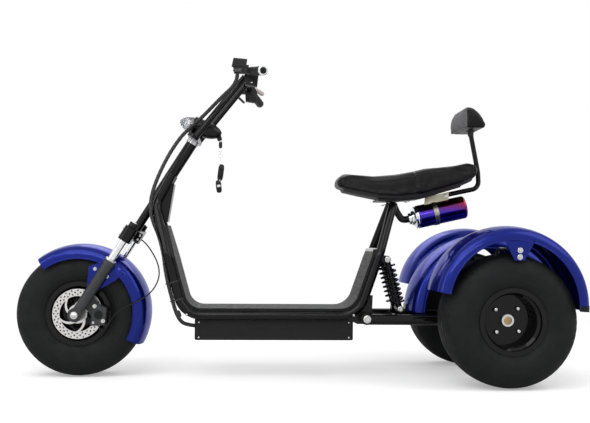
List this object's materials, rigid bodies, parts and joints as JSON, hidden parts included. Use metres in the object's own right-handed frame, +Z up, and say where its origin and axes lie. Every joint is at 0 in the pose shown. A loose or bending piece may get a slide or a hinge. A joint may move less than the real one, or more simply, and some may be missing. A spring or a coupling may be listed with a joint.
{
  "type": "three-wheel electric scooter",
  "caption": "Three-wheel electric scooter with a step-through frame, raked fork, foot deck over a battery box, cushioned seat with backrest and fat tyres",
  "frame": {"origin": "on the floor, at the middle of the outer box's length and width", "axes": "+X forwards, +Y to the rider's left, +Z up"},
  "size_m": [1.9856, 0.796, 1.1319],
  "materials": {
    "tyre": "matt black rubber",
    "gloss_black": "gloss black paint",
    "satin_black": "satin black paint",
    "blue_paint": "gloss metallic blue paint",
    "chrome": "polished chrome",
    "zinc": "zinc plated",
    "disc_steel": "ground steel",
    "leather": "black synthetic leather",
    "mat": "ribbed dark grey rubber",
    "black_plastic": "black plastic",
    "lens": "clear plastic lens",
    "grip": "black rubber",
    "canister_blue": "heat-tinted violet, blue and gold"
  },
  "bodies": {
    "frame": {"main_frame": "gloss_black", "head_bearing": "zinc", "deck_plate": "satin_black", "deck_mat": "mat", "battery_box": "satin_black", "swing_arm": "gloss_black", "drive_motor": "satin_black", "shock_dampers": "satin_black", "shock_springs": "satin_black", "suspension_bolts": "zinc", "rear_fenders": "blue_paint", "fender_stays": "satin_black", "centre_mudguard": "blue_paint", "seat_cushion": "leather", "seat_pan": "satin_black", "backrest_post": "gloss_black", "backrest_pad": "leather", "canister": "canister_blue", "canister_fittings": "chrome"},
    "steering": {"front_axle": "zinc", "fork_sliders": "satin_black", "fork_stanchions": "chrome", "fork_clamp_and_stem": "satin_black", "front_fender": "blue_paint", "brake_caliper": "satin_black", "top_yoke": "gloss_black", "handlebar": "gloss_black", "grips": "grip", "brake_levers": "satin_black", "switch_pods": "black_plastic", "headlight_lens": "lens", "headlight_housing": "black_plastic", "key_and_fob": "black_plastic"},
    "front_wheel": {"front_rim": "gloss_black", "front_tyre": "tyre", "brake_disc": "disc_steel"},
    "rear_wheel_left": {"rear_tyre_left": "tyre", "rear_rim_left": "gloss_black", "rear_hub_left": "satin_black"},
    "rear_wheel_right": {"rear_tyre_right": "tyre", "rear_rim_right": "gloss_black", "rear_hub_right": "satin_black"}
  },
  "joints": [
    {"name": "steering", "type": "hinge", "parent": "frame", "child": "steering", "pos_m": [0.76625, 0, 0.2285], "axis": [-0.5299, 0, 0.848], "range_deg": [-38, 38]},
    {"name": "front_wheel_spin", "type": "hinge", "parent": "steering", "child": "front_wheel", "pos_m": [0.76625, 0, 0.2285], "axis": [0, 1, 0], "continuous": true},
    {"name": "rear_wheel_left_spin", "type": "hinge", "parent": "frame", "child": "rear_wheel_left", "pos_m": [-0.72375, 0.29, 0.2285], "axis": [0, 1, 0], "continuous": true},
    {"name": "rear_wheel_right_spin", "type": "hinge", "parent": "frame", "child": "rear_wheel_right", "pos_m": [-0.72375, -0.29, 0.2285], "axis": [0, 1, 0], "continuous": true}
  ]
}
